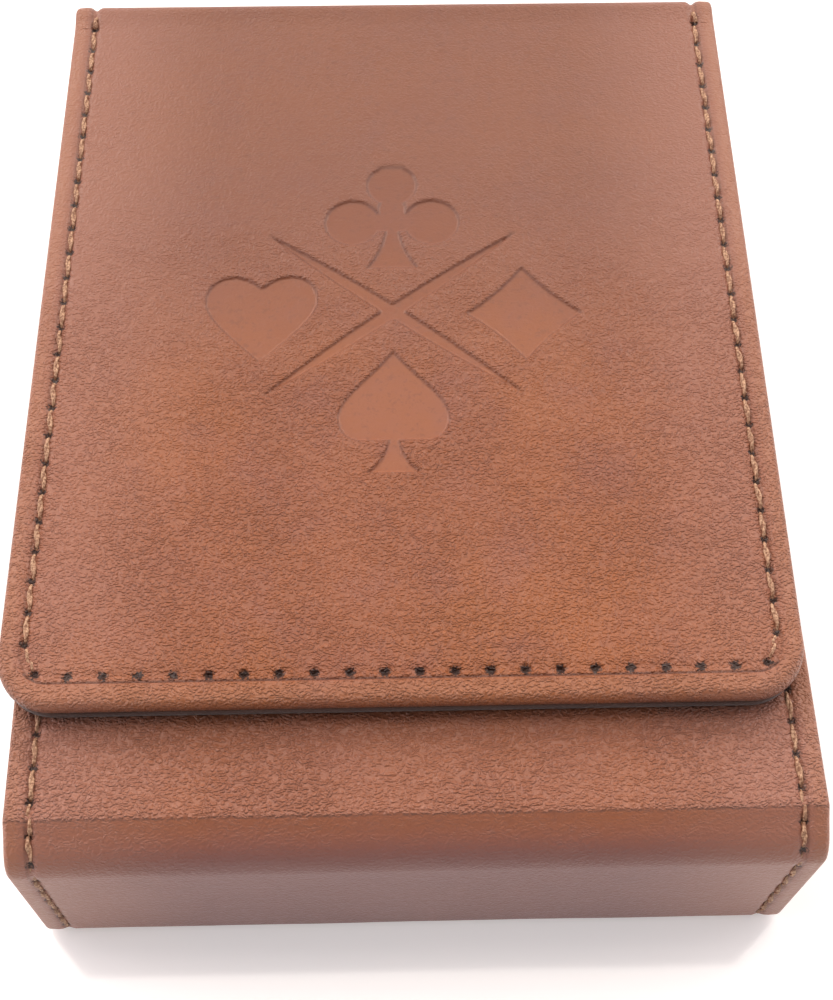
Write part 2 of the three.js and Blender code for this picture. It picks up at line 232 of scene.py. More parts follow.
def at_free_edge(path, s, begins=3.5, rises=0.4):
    """1 along the flap's free edge, where the seam is pulled tight, and 0 elsewhere."""
    if path is not flap_path:
        return 0 * s
    return np.clip((s - path.total + begins) / rises, 0, 1)


def sheet_surface(half_width, total, corner_radius, across, along):
    """The flat layout of a panel: X and length of each point, quads, and the outline with its way out.
    Corners are rounded at the far end if it has a corner radius; otherwise both ends are cut square."""
    flat, faces = [], []
    square = total - corner_radius
    rows = [s for s in along if s < square - 1e-6] + [square]
    columns = len(across)
    for s in rows:
        flat += [(x, s) for x in across]
    for r in range(len(rows) - 1):
        for c in range(columns - 1):
            a = r * columns + c
            faces.append((a, a + 1, a + columns + 1, a + columns))
    left = [r * columns for r in range(len(rows))]
    right = [r * columns + columns - 1 for r in range(len(rows))]
    outline = [(i, (-1, 0)) for i in left]
    if not corner_radius:
        return np.array(flat), faces, outline, [(i, (1, 0)) for i in reversed(right)]

    last = (len(rows) - 1) * columns
    insets = edge_steps(corner_radius)[::-1]
    inner = [c for c in range(columns) if abs(across[c]) <= half_width - corner_radius + 1e-6]
    front = [[last + c for c in inner]]
    for inset in insets[1:]:
        front.append(list(range(len(flat), len(flat) + len(inner))))
        flat += [(across[c], total - inset) for c in inner]
    for a, b in zip(front, front[1:]):
        faces += [(a[c], a[c + 1], b[c + 1], b[c]) for c in range(len(inner) - 1)]

    def fan(sign, edge_columns, front_column):
        """Quads round a corner, from the side's points to the front's."""
        turns = max(6, round(corner_radius * 4))
        centre = edge_columns[0]
        spokes, ways = [edge_columns], []
        for k in range(1, turns):
            angle = math.pi / 2 * k / turns
            spoke = [centre]
            for inset in insets[1:]:
                reach = corner_radius - inset
                x = sign * (half_width - corner_radius + reach * math.cos(angle))
                flat.append((x, square + reach * math.sin(angle)))
                spoke.append(len(flat) - 1)
            spokes.append(spoke)
            ways.append((sign * math.cos(angle), math.sin(angle)))
        spokes.append([row[front_column] for row in front])
        for a, b in zip(spokes, spokes[1:]):
            for j in range(len(insets) - 1):
                quad = [a[j], a[j + 1], b[j + 1], b[j]]
                quad = quad if sign > 0 else quad[::-1]
                faces.append(tuple(dict.fromkeys(quad)))
        return [(spoke[-1], way) for spoke, way in zip(spokes[1:-1], ways)]

    reach = len(insets)
    left_fan = fan(-1, [last + c for c in range(reach - 1, -1, -1)], 0)
    right_fan = fan(1, [last + c for c in range(columns - reach, columns)], len(inner) - 1)
    outline += left_fan + [(i, (0, 1)) for i in front[-1]] + right_fan[::-1]
    return np.array(flat), faces, outline, [(i, (1, 0)) for i in reversed(right)]


def hide_panel(name, path, material, corner_radius, along, interior, turned, seam):
    """A leather panel: a worked upper face, edges folded round and turned in under, and a flat inside.
    turned gives the folded edge's height at lengths along the path, and seam its seam's own coordinates."""
    edge = edge_steps(max(corner_radius, EDGE_BAND))
    across = np.concatenate([edge - HALF_WIDTH, interior, HALF_WIDTH - edge[::-1]])
    flat, faces, outline, far_side = sheet_surface(HALF_WIDTH, path.total, corner_radius, across, along)
    border = outline + far_side
    x, s = flat[:, 0], flat[:, 1]
    inset = HALF_WIDTH - np.abs(x)
    if corner_radius:
        inset = np.minimum(inset, path.total - s)
        past_x = np.abs(x) - (HALF_WIDTH - corner_radius)
        past_s = s - (path.total - corner_radius)
        in_corner = (past_x > 0) & (past_s > 0)
        inset = np.where(in_corner, corner_radius - np.hypot(past_x, past_s), inset)
    inset = np.maximum(inset, 0)
    along_seam = seam(x, s, inset)
    pressed = pressed_share(path, flat)
    free = at_free_edge(path, s)
    worked = seam_relief(along_seam, free) + EMBLEM_DEPTH * pressed
    waves = soft_unevenness(x, *path.place(s, np.zeros(len(s))).T)
    rounder = at_free_edge(path, s, begins=5.0, rises=3.0)
    depth = edge_fall(inset, EDGE_ROUND + (FRONT_ROUND - EDGE_ROUND) * rounder)
    depth = depth + worked + np.clip(inset / 3, 0, 1) * waves - bend_swell(path, s)
    loops = [(x, s, depth)]

    rim = np.array([i for i, way in border])
    ways = np.array([way for i, way in border], float)
    height = turned(s[rim])
    turns = [(0, height - UNDER_ROUND), (0.3 * UNDER_ROUND, height - 0.3 * UNDER_ROUND),
             (UNDER_ROUND, height), (HIDE, height), (HIDE, np.full(len(rim), HIDE))]
    rings = [rim]
    for drawn_in, down in turns:
        first = sum(len(loop[0]) for loop in loops)
        rings.append(np.arange(first, first + len(rim)))
        loops.append((x[rim] - ways[:, 0] * drawn_in, s[rim] - ways[:, 1] * drawn_in, down))
    inside, rows = rings[-1], len(far_side)
    mirrored = len(rim) - 1
    for upper, lower in zip(rings, rings[1:]):
        for j in range(mirrored):
            if corner_radius or j != rows - 1:
                faces.append((int(upper[j]), int(upper[j + 1]), int(lower[j + 1]), int(lower[j])))
    for j in range(rows - 1):
        quad = (inside[j], inside[j + 1], inside[mirrored - j - 1], inside[mirrored - j])
        faces.append(tuple(int(i) for i in quad))
    if corner_radius:
        faces.append(tuple(int(i) for i in inside[rows - 1 : len(rim) - rows + 1]))
    columns = len(across)
    caps = [(range(columns)[::-1], 0, -1)]
    if not corner_radius:
        caps.append((range((rows - 1) * columns, rows * columns), rows, rows - 1))
    for end_row, first, last in caps:
        down, up = ([int(ring[k]) for ring in rings[1:]] for k in (first, last))
        faces.append((*end_row, *down, *up[::-1]))
    if path is flap_path:
        faces = [face[::-1] for face in faces]
    x, s, depth = (np.concatenate([np.asarray(loop[k], float) for loop in loops]) for k in range(3))
    points = np.column_stack([x - lean(path, s), path.place(s, depth)])
    below = len(x) - len(flat)
    values = {
        "hide_place": points,
        "seam": np.concatenate([along_seam, np.zeros((below, 3)) + UNSEWN]),
        "pressed": np.concatenate([pressed, np.zeros(below)]),
    }
    return make_piece(name, points, faces, material, values)


def bend_swell(path, s):
    """How far the tight fold at the flap's hinge stands proud."""
    if path is not flap_hinge_path:
        return 0 * s
    return BEND_SWELL * np.sin(np.pi * s / path.total) ** 2


def lean(path, s):
    """The flap was cut by hand, and its free edge sits a little to the left of the case's."""
    return FLAP_LEAN * s / flap_path.total if path is flap_path else 0 * s


# ---- the suit emblem

def bezier(*controls, steps=14):
    t = np.linspace(0, 1, steps)[:, None]
    n = len(controls) - 1
    shares = [math.comb(n, i) * (1 - t) ** (n - i) * t**i for i in range(n + 1)]
    return sum(share * np.array(point, float) for share, point in zip(shares, controls))


def mirrored_outline(right_half):
    """A closed outline from its right half, listed from the top to the bottom."""
    left_half = right_half[::-1] * [-1, 1]
    return np.concatenate([right_half, left_half])


def circle(centre, radius):
    turn = np.linspace(0, 2 * math.pi, 40, endpoint=False)
    return np.column_stack([centre[0] + radius * np.cos(turn), centre[1] + radius * np.sin(turn)])


def stem(top, base, half_width=2.7, neck=0.45):
    waist = (0.3 * half_width, 0.35 * top + 0.65 * base)
    return mirrored_outline(bezier((neck, top), waist, (half_width, base)))


def heart():
    lobe = bezier((0, 3.4), (2.9, 6.2), (5.8, 4.5), (5.8, 1.8))
    side = bezier((5.8, 1.8), (5.8, -0.6), (2.03, -3.6), (0, -5.85))
    return mirrored_outline(np.concatenate([lobe, side]))


def diamond(width=5.95, height=5.85, waist=0.42):
    upper = bezier((0, height), (width * waist, height * waist), (width, 0))
    lower = bezier((width, 0), (width * waist, -height * waist), (0, -height))
    return mirrored_outline(np.concatenate([upper, lower]))


def spade():
    side = bezier((0, -4.9), (2.2, -8.2), (5.5, -10.2), (5.55, -12.8))
    lobe = bezier((5.55, -12.8), (5.5, -14.8), (4.2, -15.4), (3.4, -15.4))
    return mirrored_outline(np.concatenate([side, lobe]))


def cross_line(slope, half=(13.1, 10.1), bow=1.5):
    """One of the two crossing lines, widest where they cross."""
    end = np.array([half[0], half[1] * slope])
    side = np.array([-end[1], end[0]]) / np.linalg.norm(end) * bow
    return np.concatenate([bezier(-end, side, end), bezier(end, -side, -end)])


def emblem_outlines():
    return [
        heart() + [-13.55, -0.2],
        diamond() + [13.55, -0.35],
        spade(),
        stem(-15.2, -19.1),
        circle((0, 16.65), 2.7),
        circle((-4.2, 11.6), 2.95),
        circle((4.2, 11.6), 2.95),
        circle((0, 13.4), 1.5),
        np.array([(-1.6, 10.4), (1.6, 10.4), (1.6, 12.9), (-1.6, 12.9)]),
        stem(12.2, 5.6),
        cross_line(1),
        cross_line(-1),
    ]


def distance_inside(points, outline):
    """Distance to a closed outline, positive inside it."""
    a, b = outline, np.roll(outline, -1, 0)
    run = b - a
    size = np.maximum((run**2).sum(1), 1e-12)
    nearest = np.full(len(points), 1e9)
    crossings = np.zeros(len(points), int)
    for p, q, way, square in zip(a, b, run, size):
        t = np.clip(((points - p) @ way) / square, 0, 1)
        nearest = np.minimum(nearest, np.hypot(*(points - p - t[:, None] * way).T))
        spans = (p[1] > points[:, 1]) != (q[1] > points[:, 1])
        if abs(way[1]) > 1e-12:
            at = p[0] + (points[:, 1] - p[1]) / way[1] * way[0]
            crossings += spans & (points[:, 0] < at)
    return np.where(crossings % 2 == 1, nearest, -nearest)


def pressed_share(path, flat):
    """How fully each point of the flap's upper face is pressed down, from 0 to 1."""
    share = np.zeros(len(flat))
    if path is not flap_path:
        return share
    y = path.place(flat[:, 1], np.zeros(len(flat)))[:, 0]
    points = np.column_stack([flat[:, 0] - EMBLEM_CENTRE_X, y - EMBLEM_CENTRE_Y])
    near = np.abs(points).max(1) < EMBLEM_REACH + 0.1
    deepest = np.max([distance_inside(points[near], outline) for outline in emblem_outlines()], 0)
    rise = np.clip(deepest / EMBLEM_WALL + 0.5, 0, 1)
    share[near] = rise * rise * (3 - 2 * rise)
    return share


# ---- leather relief

def soft_unevenness(x, y, z):
    """A hand-worked hide is never quite flat: long, shallow waves a few hundredths deep."""
    waves = np.sin(x / 9.1 + 1.3) * np.sin((y - z) / 12.7 + 0.4) + 0.6 * np.sin(x / 5.3 - y / 7.9)
    waves = 0.03 * waves + 0.014 * np.sin(x / 2.3 + 2.1) * np.sin((y + z) / 2.9)
    return waves * np.clip((JOIN_Y - y) / 6, 0, 1)


def mound(distance, width):
    """1 where the distance is 0, falling away softly over a width."""
    return np.exp(-((distance / width) ** 2))


def seam_relief(along_seam, free):
    """The channel that a tight seam draws into the hide, deepest at its needle holes. Along the flap's free
    edge the thread has sunk out of sight, and leaves its holes and a sharp crease beside them."""
    stitches, off, pitch = along_seam.T
    to_hole = (stitches - np.round(stitches)) * pitch
    channel = (0.17 - 0.11 * free) * mound(off, 0.42)
    crease = 0.13 * free * mound(off - 0.62, 0.16)
    holes = (0.26 + 0.2 * free) * mound(to_hole, 0.5) * mound(off, 0.36)
    swell = -0.05 * mound(off - 1.0, 0.45)
    return channel + crease + holes + swell


def side_seam(length):
    """The seam down each side of a panel, as a function for hide_panel, and its needle holes."""
    count = round(length / STITCH_PITCH + 0.01)
    pitch = length / count

    def values(x, s, inset):
        off = np.where(s > length + 0.3, UNSEWN[1], SEAM_INSET - (HALF_WIDTH - np.abs(x)))
        return np.column_stack([s / pitch, off, np.full(len(x), pitch)])

    reach = HALF_WIDTH - SEAM_INSET
    holes = [[(side * reach, k * pitch) for k in range(count + 1)] for side in (-1, 1)]
    return values, holes


def round_seam(path, corner_radius):
    """The seam that runs down one side of the flap, round its free edge and up the other.
    It lies further in along the free edge, so it drifts in as it rounds the corner."""
    quarter = math.pi / 2
    side = path.total - corner_radius
    bend = quarter * (corner_radius - (SEAM_INSET + FRONT_SEAM_INSET) / 2)
    front = 2 * (HALF_WIDTH - corner_radius)
    length = 2 * (side + bend) + front
    count = round(length / STITCH_PITCH)
    pitch = length / count

    def inset_at(turned):
        return SEAM_INSET + (FRONT_SEAM_INSET - SEAM_INSET) * turned

    def values(x, s, inset):
        past_x = np.abs(x) - (HALF_WIDTH - corner_radius)
        past_s = s - side
        turned = np.arctan2(np.maximum(past_s, 0), np.maximum(past_x, 1e-9)) / quarter
        half = np.where(past_s > 0, side + turned * bend, s)
        on_front = (past_x <= 0) & (path.total - s < HALF_WIDTH - np.abs(x))
        half = np.where(on_front, side + bend - past_x, half)
        turned = np.where(on_front, 1, np.where(past_s > 0, turned, 0))
        run = np.where(x < 0, half, length - half)
        return np.column_stack([run / pitch, inset_at(turned) - inset, np.full(len(x), pitch)])

    holes = []
    for k in range(count + 1):
        run = min(k * pitch, length - k * pitch)
        sign = -1 if k * pitch < length / 2 else 1
        if run < side:
            x, s = HALF_WIDTH - SEAM_INSET, run
        elif run < side + bend:
            turned = (run - side) / bend
            reach = corner_radius - inset_at(turned)
            x = HALF_WIDTH - corner_radius + reach * math.cos(turned * quarter)
            s = side + reach * math.sin(turned * quarter)
        else:
            x, s = HALF_WIDTH - corner_radius - (run - side - bend), path.total - FRONT_SEAM_INSET
        holes.append((sign * x, s))
    return values, [holes]


# ---- the panels' paths

JOIN_Y = HINGE_Y - HINGE_JOIN
JOIN_LOW_Z = HINGE_RADIUS + HINGE_JOIN
JOIN_HIGH_Z = FLAP_Z - JOIN_LOW_Z
UP, DOWN, NEAR, FAR = (0, 1), (0, -1), (-1, 0), (1, 0)

case_path = FoldedPath(
    (JOIN_Y, 0), (MOUTH_Y, FRONT_Z), [UP, FAR, DOWN],
    corners=[(BOTTOM_Y, 0), (BOTTOM_Y, FRONT_Z)], radii=[BACK_EDGE_RADIUS, FRONT_EDGE_RADIUS],
    creased=2,
)
back_hinge_path = FoldedPath(
    (SPINE_Y, JOIN_LOW_Z), (JOIN_Y, 0), [NEAR, UP], corners=[(SPINE_Y, 0)], radii=[HINGE_RADIUS],
)
spine_path = FoldedPath((SPINE_Y, JOIN_HIGH_Z), (SPINE_Y, JOIN_LOW_Z), [NEAR])
flap_hinge_path = FoldedPath(
    (JOIN_Y, FLAP_Z), (SPINE_Y, JOIN_HIGH_Z), [DOWN, NEAR], corners=[(SPINE_Y, FLAP_Z)],
    radii=[FLAP_BEND_RADIUS],
)
flap_path = FoldedPath((JOIN_Y, FLAP_Z), (FLAP_FRONT_Y, FLAP_Z), [DOWN])


# ---- materials

def srgb(code):
    """A hex colour, turned to the linear values that a shader takes."""
    channels = [int(code[i : i + 2], 16) / 255 for i in (1, 3, 5)]
    return [((c + 0.055) / 1.055) ** 2.4 if c > 0.04045 else c / 12.92 for c in channels] + [1]


MATH, VECTORS, RANGE = "ShaderNodeMath", "ShaderNodeVectorMath", "ShaderNodeMapRange"
MIX, NOISE, ATTRIBUTE = "ShaderNodeMix", "ShaderNodeTexNoise", "ShaderNodeAttribute"
BUMP, PRINCIPLED, OUTPUT = "ShaderNodeBump", "ShaderNodeBsdfPrincipled", "ShaderNodeOutputMaterial"
PLUS, MINUS = {"operation": "ADD"}, {"operation": "SUBTRACT"}
TIMES, TIMES_PLUS = {"operation": "MULTIPLY"}, {"operation": "MULTIPLY_ADD"}
LENGTH, SIZE = {"operation": "LENGTH"}, {"operation": "ABSOLUTE"}
SOFT, COLOUR = {"interpolation_type": "SMOOTHSTEP"}, {"data_type": "RGBA"}
SHARE, FIRST, SECOND, MIXED = 0, 6, 7, 2  # the colour sockets of a Mix node


def add_node(tree, kind, inputs=(), out=0, **settings):
    """Adds a node with its settings, sets or links its inputs, and gives the output asked for."""
    node = tree.nodes.new(kind)
    for key, value in settings.items():
        setattr(node, key, value)
    for key, value in inputs.items() if isinstance(inputs, dict) else enumerate(inputs):
        if isinstance(value, bpy.types.NodeSocket):
            tree.links.new(value, node.inputs[key])
        else:
            node.inputs[key].default_value = value
    return node.outputs[out] if len(node.outputs) else None


def new_material(name):
    """An empty material, and the function that adds a node to it."""
    material = bpy.data.materials.new(name)
    material.use_nodes = True
    material.node_tree.nodes.clear()
    return material, partial(add_node, material.node_tree)


def pebbled_leather(name, middle, warm, grey, dark, worn):
    """Aniline-dyed, pebble-embossed cowhide with a wax finish. The eye gets a fine leathery grain, patches
    of warmer and greyer brown where the dye took unevenly, and a soft satin gloss. Painted shade darkens the
    needle holes, the thread's crease, the emblem's walls, the bottom end, the free edge's underside and the
    hide towards the hinge, and a painted sheen greys the front panel and the long edges."""
    material, add = new_material(name)
    place = add(ATTRIBUTE, (), "Vector", attribute_name="hide_place")
    seam = add(ATTRIBUTE, (), "Vector", attribute_name="seam")
    pressed = add(ATTRIBUTE, (), "Fac", attribute_name="pressed")
    x, y, z = add("ShaderNodeSeparateXYZ", (place,)).node.outputs
    stitches, off, pitch = add("ShaderNodeSeparateXYZ", (seam,)).node.outputs
    flap_share = add(RANGE, (z, *ONTO_FLAP_Z), **SOFT)
    up_spine = add(RANGE, (z, *UP_SPINE_Z), **SOFT)
    at_spine = add(RANGE, (y, *ONTO_SPINE_Y), **SOFT)
    spine_share = add(MATH, (up_spine, at_spine), **TIMES)
    on_flap = add(MATH, (flap_share, spine_share), operation="MAXIMUM")
    front_share = add(RANGE, (y, *FREE_EDGE_Y), **SOFT)
    free = add(MATH, (front_share, on_flap), **TIMES)

    # Grain: pebbles about a third of a millimetre across, pulled out of round. Places are in millimetres,
    # so a scale of 3.3 gives 3.3 pebbles to a millimetre
    sway = add(NOISE, {"Vector": place, "Scale": 0.9, "Detail": 2.0}, "Color")
    centred = add(VECTORS, (sway, (0.5, 0.5, 0.5)), **MINUS)
    pulled = add(VECTORS, (centred, (0.9, 0.9, 0.9), place), **TIMES_PLUS)
    squeezed = add("ShaderNodeMapping", {"Vector": pulled, "Scale": (0.8, 1.15, 1.15)})
    cells = add("ShaderNodeTexVoronoi", {"Vector": squeezed, "Scale": 3.3}, "Distance")
    pebble = add(RANGE, (cells, 0.75, 0.15), **SOFT)
    pores = add(NOISE, {"Vector": place, "Scale": 3.2, "Detail": 3.0, "Roughness": 0.6})
    drawn = add("ShaderNodeMapping", {"Vector": pulled, "Scale": (0.28, 1.5, 1.0)})
    wrinkles = add(NOISE, {"Vector": drawn, "Scale": 1.05, "Detail": 3.0, "Roughness": 0.55})

    # The grain is smoother towards the hinge and over the front edge, and flat where the emblem pressed it
    hinge_end = add(RANGE, (y, *TOWARDS_HINGE_Y, 0.0, 0.63), **SOFT)
    # Towards the hinge the hide is also painted darker and greyer, as painted shade
    smoothed_and_shaded = add(MATH, (hinge_end, on_flap), **TIMES)
    over_edge = add(RANGE, (y, *OVER_CREASE_Y, 0.25, 0.85), **SOFT)
    even = add(MATH, (over_edge, smoothed_and_shaded), **MINUS)
    unpressed = add(MATH, (1.0, pressed), **MINUS)
    patches = add(NOISE, {"Vector": place, "Scale": 0.11, "Detail": 2.0})
    patchy = add(RANGE, (patches, 0.3, 0.7, 0.65, 1.1), **SOFT)
    even_unpressed = add(MATH, (even, unpressed), **TIMES)
    strength = add(MATH, (even_unpressed, patchy), **TIMES)
    towards_front = add(RANGE, (y, *FRONT_PANEL_Y, 0.28, 1.5), **SOFT)
    fine = add(MATH, (pores, 0.3), **TIMES)
    drawn_tight = add(MATH, (towards_front, over_edge), **TIMES)
    creased = add(MATH, (wrinkles, drawn_tight, fine), **TIMES_PLUS)
    height = add(MATH, (pebble, strength, creased), **TIMES_PLUS)
    normal = add(BUMP, {"Height": height, "Distance": 0.175 * MM})

    # Dye: broad patches, smaller clouds, speckle and dark valleys
    dyes = []
    for scale, roughness, shown in (
        (0.04, 0.5, (0.4, 0.62)),
        (0.2, 0.5, (0.42, 0.78, 0.0, 0.45)),
        (1.6, 0.65, (0.52, 0.7, 0.0, 0.22)),
    ):
        speckle = add(NOISE, {"Vector": place, "Scale": scale, "Detail": 3.0, "Roughness": roughness})
        dyes.append(add(RANGE, (speckle, *shown), **SOFT))
    low = add(RANGE, (pebble, 0.5, 0.0, 0.0, 0.2), **SOFT)
    valley = add(MATH, (low, strength), **TIMES)

    # The bottom end is painted duller, darker and greyer: painted shade, with a painted reflection of the
    # pale table
    painted_end_shade = add(RANGE, (y, *BOTTOM_END_Y, 0.12, 0.7), **SOFT)

    # A painted sheen greys the front panel, and the hide towards its long edges: a painted reflection of the
    # side lights
    from_middle = add(MATH, (x,), **SIZE)
    by_edge = add(RANGE, (from_middle, *LONG_EDGE_X, 0.0, 0.55), **SOFT)
    on_front = add(RANGE, (y, *FRONT_PANEL_Y, 0.0, 0.4), **SOFT)
    off_flap = add(MATH, (1.0, on_flap), **MINUS)
    painted_sheen = add(MATH, (on_front, off_flap, by_edge), **TIMES_PLUS)
    # Painted shade darkens the underside along the flap's free edge
    underside = add(RANGE, (z, *UNDER_FOLD_Z, 0.0, 0.5), **SOFT)
    shaded = add(MATH, (underside, free), **TIMES)

    # Wear on the folded edge outside the seam
    outside = add(RANGE, (off, 0.5, 1.5, 0.0, 0.4), **SOFT)
    inside = add(RANGE, (off, 3.0, 2.2), **SOFT)
    rubbed = add(MATH, (outside, inside), **TIMES)

    # A dark line painted beside the thread, painted shade in the crease that it draws, and ragged needle
    # holes darkened with painted shade
    crease_at = add(MATH, (free, 0.24, 0.38), **TIMES_PLUS)
    beside = add(MATH, (off, crease_at), **MINUS)
    away = add(MATH, (beside,), **SIZE)
    line = add(RANGE, (away, 0.2, 0.05), **SOFT)
    depth = add(MATH, (free, 0.5, 0.25), **TIMES_PLUS)
    crease = add(MATH, (line, depth), **TIMES)
    # The needle holes' dark tone is painted shade
    to_hole = add(MATH, (stitches, 0.5, -0.5), operation="WRAP")
    from_hole = add(MATH, (to_hole, pitch), **TIMES)
    spot = add("ShaderNodeCombineXYZ", (from_hole, off))
    reach = add(VECTORS, (spot,), "Value", **LENGTH)
    torn = add(NOISE, {"Vector": place, "Scale": 4.2, "Detail": 2.0})
    ragged = add(RANGE, (torn, 0.2, 0.8, -0.3, 0.3))
    wider = add(MATH, (free, -0.1, ragged), **TIMES_PLUS)
    edge = add(MATH, (reach, wider), **PLUS)
    hole = add(RANGE, (edge, 0.52, 0.24, 0.0, 0.92), **SOFT)
    # Painted shade darkens the emblem's sloping walls
    half_pressed = add(MATH, (pressed, unpressed), **TIMES)
    wall = add(MATH, (half_pressed, 1.5), **TIMES)

    # The tones go on in layers, each over a share of the surface
    colour = srgb(middle)
    layers = (
        (dyes[0], warm), (dyes[1], grey), (dyes[2], dark), (valley, dark),
        (smoothed_and_shaded, "#6a402e"), (painted_end_shade, "#563f52"), (painted_sheen, "#9c6a58"), (shaded, dark),
        (rubbed, worn), (crease, dark), (wall, dark), (hole, "#1d0f0b"),
    )
    for share, tone in layers:
        colour = add(MIX, {SHARE: share, FIRST: colour, SECOND: srgb(tone)}, MIXED, **COLOUR)

    waxed = add(MATH, (speckle, 0.16, 0.3), **TIMES_PLUS)
    gloss = add(MATH, (valley, 0.3, waxed), **TIMES_PLUS)
    surface = add(PRINCIPLED, {
        "Base Color": colour, "Roughness": gloss, "Normal": normal, "IOR": 1.48,
        "Sheen Weight": 0.06, "Sheen Roughness": 0.4, "Sheen Tint": srgb("#d6c2d2"),
    })
    add(OUTPUT, (surface,))
    return material


def fine_marks(name, ground, coats, roughness, relief=0.0, worked=0, **others):
    """A finish with fine marks. Each coat gives its pattern's size in millimetres and its detail, how much
    of it shows, and its tone. The worked coat's pattern gives the roughness and the relief too."""
    material, add = new_material(name)
    place = add("ShaderNodeTexCoord", (), "Object")
    colour, patterns = srgb(ground), []
    for size, detail, shown, tone in coats:
        marks = add(NOISE, {"Vector": place, "Scale": 1 / (size * MM), "Detail": detail})
        share = add(RANGE, (marks, *shown), **SOFT) if shown else marks
        colour = add(MIX, {SHARE: share, FIRST: colour, SECOND: srgb(tone)}, MIXED, **COLOUR)
        patterns.append(marks)
    marks = patterns[worked]
    sockets = {"Base Color": colour, "Roughness": add(RANGE, (marks, *roughness))}
    if relief:
        sockets["Normal"] = add(BUMP, {"Height": marks, "Distance": relief * MM})
    sockets.update((key.replace("_", " "), value) for key, value in others.items())
    surface = add(PRINCIPLED, sockets)
    add(OUTPUT, (surface,))
    return material


hide_leather = pebbled_leather("pebbled_cowhide", "#97562c", "#9f5b29", "#945a44", "#4a2415", "#a26c4e")
side_leather = pebbled_leather("pebbled_cowhide_side", "#80503a", "#87543a", "#805a4b", "#3f2017", "#946a56")

# Split cowhide buffed to a nap. The eye gets a dull, dark brown with soft, uneven strokes.
nap_coats = [
    (8.3333, 3.0, (0.3, 0.7), "#53382d"),
    (0.3125, 2.0, (0.35, 0.7, 0.0, 0.5), "#38231d"),
]
suede = fine_marks("brushed_suede_split", "#472e26", nap_coats, (0.2, 0.8, 0.82, 0.96), 0.12, worked=1,
                   Sheen_Weight=0.25, Sheen_Roughness=0.5)

# Dense grey binder's board, pressed from waste paper. The eye gets flecks and dull fibres.
fibre_coats = [(0.66667, 4.0, (0.35, 0.68), "#8a8377")]
board = fine_marks("grey_binders_board", "#6b655c", fibre_coats, (0.3, 0.7, 0.8, 0.95), 0.06)

# Two-ply waxed linen. The eye gets light, twisted strands with a dull sheen and darker wax between.
linen_coats = [
    (0.238095, 3.0, (0.36, 0.66), "#c9a283"),
    (4.54545, 2.0, (0.5, 0.75, 0.0, 0.3), "#744a32"),
]
linen_thread = fine_marks("waxed_linen_thread", "#84593f", linen_coats, (0.3, 0.7, 0.5, 0.72), 0.05)

# Nickel plate on a pressed magnet. The eye gets a bright, faintly scratched grey metal.
nickel = fine_marks("nickel_plated_magnet", "#a6a49f", [(1.11111, 3.0, None, "#c2c0ba")],
                    (0.3, 0.7, 0.24, 0.4), 0.01, Metallic=1.0)

# White laminate for the table and white paper behind it, lit evenly. The eye gets a plain, pale set.
white_laminate = fine_marks("white_laminate_table", "#e9e9ea", [(111.111, 2.0, None, "#eeeeee")],
                            (0.3, 0.7, 0.06, 0.1), Emission_Color=srgb("#ffffff"), Emission_Strength=0.34)
white_paper = fine_marks("white_background_paper", "#e2e2e4", [(111.111, 2.0, None, "#ececee")],
                         (0.3, 0.7, 0.7, 0.74), Emission_Color=srgb("#ffffff"), Emission_Strength=0.42)


# ---- the hides

def case_edge(s):
    """The folded edge's height on the case, where the front is thinner than the back and bottom end."""
    rise = np.clip((s - case_path.starts[3]) / case_path.lengths[3], 0, 1)
    return THICK_EDGE + (FRONT_EDGE - THICK_EDGE) * rise * rise * (3 - 2 * rise)


def even_thickness(thickness):
    return lambda s: np.full(len(s), thickness)


COARSE_STEP, FLAP_STEP = 2.6, 0.42  # between the points of a hide, away from its edges
inner = HALF_WIDTH - EDGE_BAND
plain_columns = even_steps(-inner, inner, COARSE_STEP)[1:-1]
flap_columns = np.concatenate([
    even_steps(-inner, -EMBLEM_REACH, 1.0)[1:-1],
    even_steps(-EMBLEM_REACH, EMBLEM_REACH, EMBLEM_STEP),
    even_steps(EMBLEM_REACH, inner, 1.0)[1:-1],
])
EMBLEM_TOP, EMBLEM_LENGTH = 19, 39.4
emblem_start = JOIN_Y - EMBLEM_CENTRE_Y - EMBLEM_TOP
emblem_end = emblem_start + EMBLEM_LENGTH
flap_rows = np.concatenate([
    even_steps(0, emblem_start, FLAP_STEP)[:-1],
    even_steps(emblem_start, emblem_end, EMBLEM_STEP),
    even_steps(emblem_end, flap_path.total, FLAP_STEP)[1:],
])

# A hinge strip is given the two bodies on either side of its bend and the diagonal of that bend; it stays
# fixed where it is, on neither body
BEND = 2.4
low_start, low_end = (0, (SPINE_Y - BEND) * MM, 0), (0, SPINE_Y * MM, BEND * MM)
high_start, high_end = (0, (SPINE_Y - BEND) * MM, FLAP_Z * MM), (0, SPINE_Y * MM, (FLAP_Z - BEND) * MM)
low_bend = ("case", "spine", low_start, low_end)
high_bend = ("flap", "spine", high_start, high_end)

